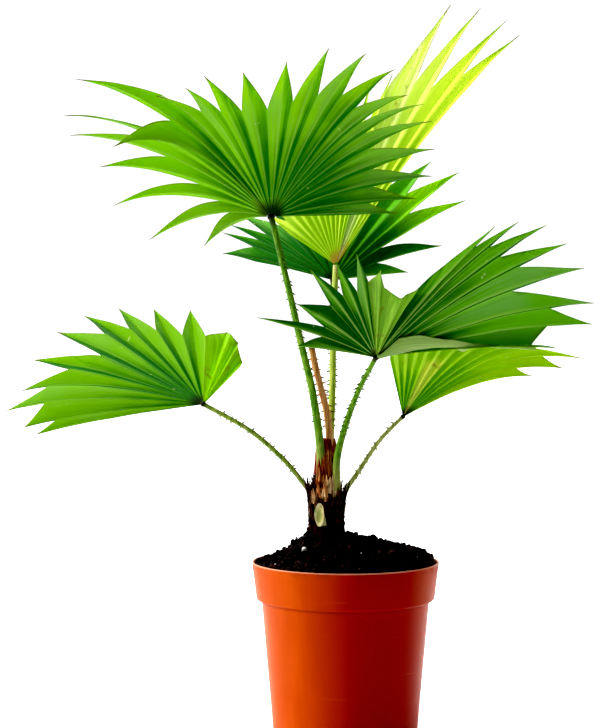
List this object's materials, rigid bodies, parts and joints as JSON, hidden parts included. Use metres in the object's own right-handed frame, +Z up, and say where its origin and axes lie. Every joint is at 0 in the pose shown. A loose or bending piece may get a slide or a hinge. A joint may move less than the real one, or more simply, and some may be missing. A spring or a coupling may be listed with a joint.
{
  "type": "potted umbrella palm",
  "caption": "Young fan palm with pleated umbrella-like leaves on thorny stalks, standing in a round tapered plastic nursery pot filled with dark potting mix.",
  "frame": {"origin": "middle of the pot's base, on the floor", "axes": "+Z up along the pot's axis, -Y towards the side the picture shows, +X to that side's right"},
  "size_m": [0.4472, 0.3791, 0.5493],
  "materials": {
    "pot_plastic": "satin",
    "potting_mix": "loose and dull",
    "palm_fibre": "fibrous",
    "sheath_fibre": "fibrous",
    "dry_stalk": "dry",
    "cut_stalk": "cut",
    "stalk_green": "satin",
    "leaf_green": "satin",
    "young_green": "satin"
  },
  "bodies": {
    "root": {"pot": "pot_plastic", "soil": "potting_mix", "trunk": "palm_fibre", "leaf_sheath": "sheath_fibre", "dead_stalk": "dry_stalk", "cut_stub": "cut_stalk", "stalk_left_high": "stalk_green", "stalk_left_low": "stalk_green", "stalk_front_right": "stalk_green", "stalk_right_low": "stalk_green", "stalk_young_top": "young_green", "stalk_back": "stalk_green", "blade_left_high": "leaf_green", "blade_left_low": "leaf_green", "blade_front_right": "leaf_green", "blade_right_low": "leaf_green", "blade_young_top": "young_green", "blade_back": "leaf_green"}
  },
  "joints": []
}
